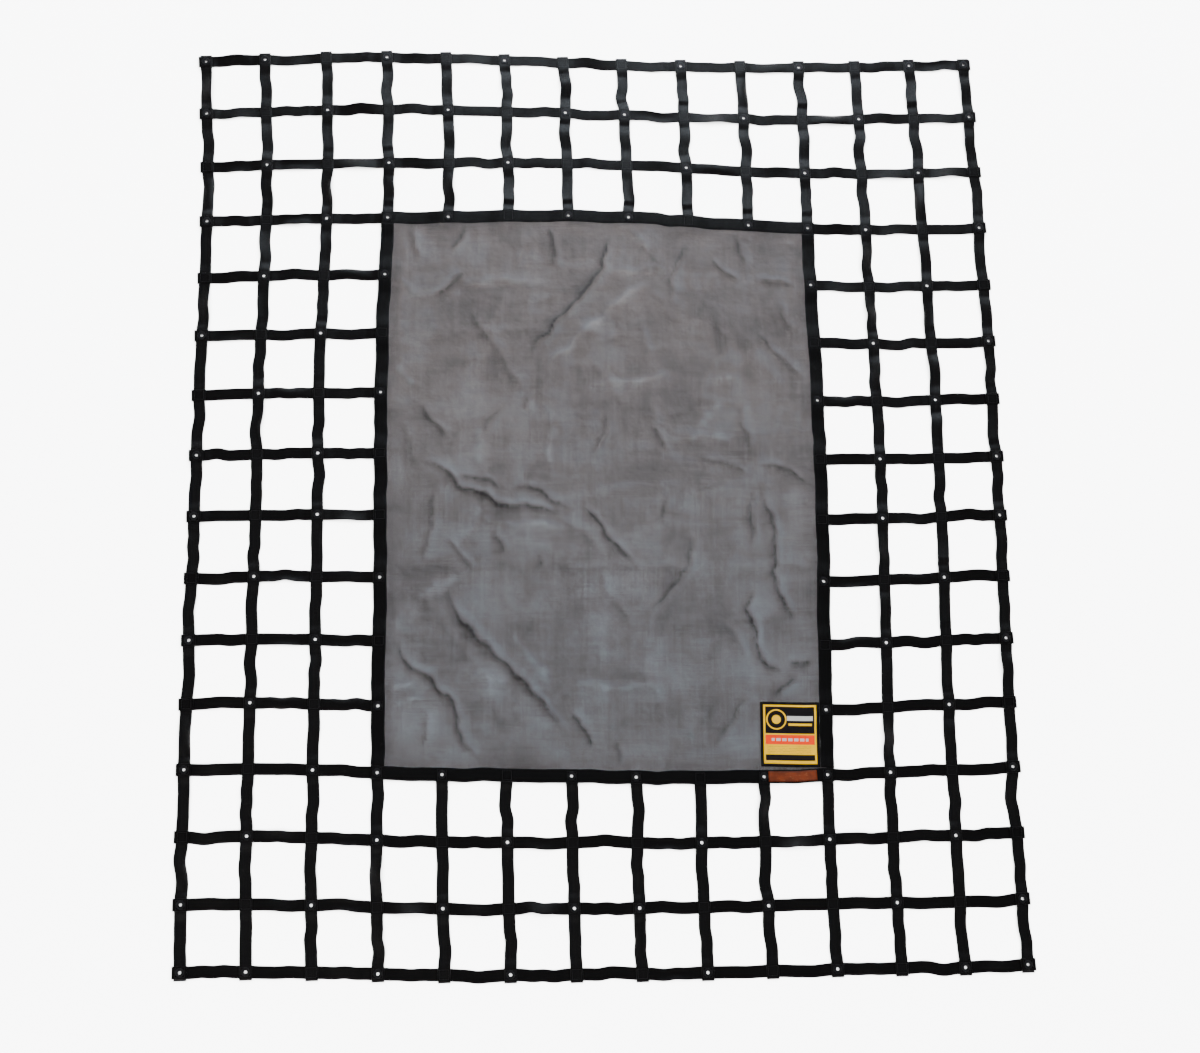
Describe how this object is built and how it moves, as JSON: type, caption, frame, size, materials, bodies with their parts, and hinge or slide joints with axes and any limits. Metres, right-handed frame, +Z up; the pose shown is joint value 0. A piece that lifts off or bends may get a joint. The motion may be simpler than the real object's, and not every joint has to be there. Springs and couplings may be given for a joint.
{
  "type": "cargo net",
  "caption": "Sewn cargo net of flat black webbing in a square grid, with a fine mesh panel in the middle and metal eyelets at alternate crossings, laid flat.",
  "frame": {"origin": "middle of the net's bounding box, on the surface that it lies on", "axes": "+Y along the net towards its head end, +X across it to the right, +Z up"},
  "size_m": [1.7702, 2.069, 0.0094],
  "materials": {
    "webbing": "flat woven polyester webbing, ribbed across, slight sheen",
    "binding_tape": "woven polyester binding tape, a little finer than the webbing",
    "mesh": "coated open-weave mesh, see-through",
    "thread": "bonded polyester thread",
    "grommet_metal": "black oxide coated brass, satin",
    "label_cloth": "plain woven backing",
    "label_print": "coated cloth printed in plain coloured bands, matt",
    "tag_print": "coated cloth strip, rust brown, scuffed"
  },
  "bodies": {
    "root": {"lengthwise_strap_01": "webbing", "lengthwise_strap_02": "webbing", "lengthwise_strap_03": "webbing", "lengthwise_strap_04": "webbing", "lengthwise_strap_05_head": "webbing", "lengthwise_strap_05_foot": "webbing", "lengthwise_strap_06_head": "webbing", "lengthwise_strap_06_foot": "webbing", "lengthwise_strap_07_head": "webbing", "lengthwise_strap_07_foot": "webbing", "lengthwise_strap_08_head": "webbing", "lengthwise_strap_08_foot": "webbing", "lengthwise_strap_09_head": "webbing", "lengthwise_strap_09_foot": "webbing", "lengthwise_strap_10_head": "webbing", "lengthwise_strap_10_foot": "webbing", "lengthwise_strap_11": "webbing", "lengthwise_strap_12": "webbing", "lengthwise_strap_13": "webbing", "lengthwise_strap_14": "webbing", "cross_strap_01": "webbing", "cross_strap_02": "webbing", "cross_strap_03": "webbing", "cross_strap_04": "webbing", "cross_strap_05_left": "webbing", "cross_strap_05_right": "webbing", "cross_strap_06_left": "webbing", "cross_strap_06_right": "webbing", "cross_strap_07_left": "webbing", "cross_strap_07_right": "webbing", "cross_strap_08_left": "webbing", "cross_strap_08_right": "webbing", "cross_strap_09_left": "webbing", "cross_strap_09_right": "webbing", "cross_strap_10_left": "webbing", "cross_strap_10_right": "webbing", "cross_strap_11_left": "webbing", "cross_strap_11_right": "webbing", "cross_strap_12_left": "webbing", "cross_strap_12_right": "webbing", "cross_strap_13": "webbing", "cross_strap_14": "webbing", "cross_strap_15": "webbing", "cross_strap_16": "webbing", "mesh_panel": "mesh", "panel_binding_head": "binding_tape", "panel_binding_right": "binding_tape", "panel_binding_foot": "binding_tape", "panel_binding_left": "binding_tape", "panel_seam_stitching": "thread", "crossing_stitching": "thread", "grommet_eyelets": "grommet_metal", "grommet_washers": "grommet_metal", "label_backing": "label_cloth", "label_face": "label_print", "label_stitching": "thread", "load_tag": "tag_print", "load_tag_stitching": "thread"}
  },
  "joints": []
}
